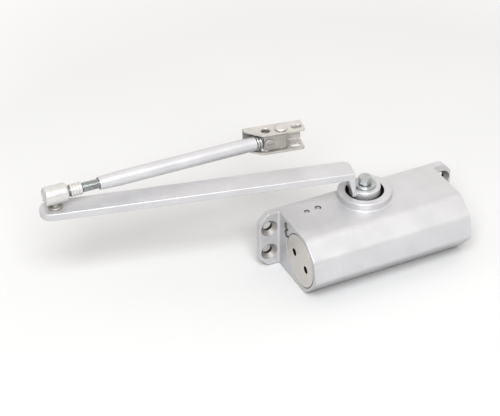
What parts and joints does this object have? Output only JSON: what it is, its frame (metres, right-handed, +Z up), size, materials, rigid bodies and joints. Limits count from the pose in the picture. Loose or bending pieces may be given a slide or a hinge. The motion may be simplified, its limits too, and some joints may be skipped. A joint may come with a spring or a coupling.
{
  "type": "door closer",
  "caption": "Surface-mounted rack-and-pinion door closer: faceted housing with screw lugs, cranked main arm, ball elbow, adjustable fore arm and frame shoe.",
  "frame": {"origin": "centre of the pattern of four fixing screws, on the face that lies against the door", "axes": "+X along the housing away from the valve end, +Y into the door, +Z up along the pinion axis"},
  "size_m": [0.2847, 0.0981, 0.0862],
  "materials": {
    "silver_paint": "satin silver paint on die-cast aluminium and steel",
    "zinc": "bright zinc plate",
    "steel": "plain pressed and turned steel",
    "pale_metal": "satin",
    "rubber": "moulded nitrile",
    "bronze": "sintered bronze"
  },
  "bodies": {
    "body": {"housing": "silver_paint", "end_cap_left": "silver_paint", "end_cap_right": "silver_paint", "end_cap_seal_left": "rubber", "end_cap_seal_right": "rubber", "oil_passage_plug_1": "steel", "oil_passage_plug_2": "steel", "upper_bearing": "bronze", "lower_bearing": "bronze", "upper_spindle_seal": "rubber", "lower_spindle_seal": "rubber", "upper_gland_nut": "steel", "bottom_plug": "steel", "closing_spring": "steel"},
    "closing_valve": {"closing_speed_valve": "zinc"},
    "latching_valve": {"latching_speed_valve": "zinc"},
    "arm": {"pinion_spindle": "steel", "main_arm": "silver_paint", "arm_washer": "zinc", "arm_screw": "zinc", "ball_stud": "steel"},
    "piston": {"piston": "steel", "check_valve_seat": "bronze", "check_valve_ball": "steel"},
    "knuckle": {"elbow_knuckle": "pale_metal", "knuckle_end_plug": "steel", "rod_locknut": "pale_metal", "threaded_rod": "zinc"},
    "fore_arm": {"fore_arm_tube": "silver_paint", "fore_arm_tongue": "zinc"},
    "block": {"pivot_block": "steel", "pivot_screw": "zinc", "shoe_rivet": "zinc"},
    "shoe": {"shoe_bracket": "steel"}
  },
  "joints": [
    {"name": "pinion_turn", "type": "hinge", "parent": "body", "child": "arm", "pos_m": [0, -0.014, 0], "axis": [0, 0, 1], "range_deg": [0, 170], "stiffness_Nm_per_rad": 6, "springref_deg": -57.3},
    {"name": "piston_slide", "type": "slide", "parent": "body", "child": "piston", "axis": [1, 0, 0], "range_m": [-0.0001, 0.0224], "deforming": ["closing_spring"]},
    {"name": "closing_valve_turn", "type": "hinge", "parent": "body", "child": "closing_valve", "pos_m": [-0.059, -0.015, 0.0152], "axis": [1, 0, 0], "range_deg": [-360, 360]},
    {"name": "latching_valve_turn", "type": "hinge", "parent": "body", "child": "latching_valve", "pos_m": [-0.059, -0.0153, 0.0096], "axis": [1, 0, 0], "range_deg": [-360, 360]},
    {"name": "elbow_swing", "type": "hinge", "parent": "arm", "child": "knuckle", "pos_m": [-0.20092, 0.03238, 0.0552], "axis": [0, 0, 1], "range_deg": [-12, 160]},
    {"name": "length_adjust", "type": "slide", "parent": "knuckle", "child": "fore_arm", "axis": [0.9997, -0.0244, 0], "range_m": [0, 0.012]},
    {"name": "block_tilt", "type": "hinge", "parent": "fore_arm", "child": "block", "pos_m": [-0.05152, 0.02809, 0.0552], "axis": [0.1736, 0.9848, 0], "range_deg": [-4, 0]},
    {"name": "shoe_swing", "type": "hinge", "parent": "block", "child": "shoe", "pos_m": [-0.04246, 0.02649, 0.0552], "axis": [0, 0, 1], "range_deg": [-110, 1]}
  ],
  "couplings": [
    {"joint": "piston_slide", "follows": "pinion_turn", "m_per_rad": 0.0075}
  ]
}
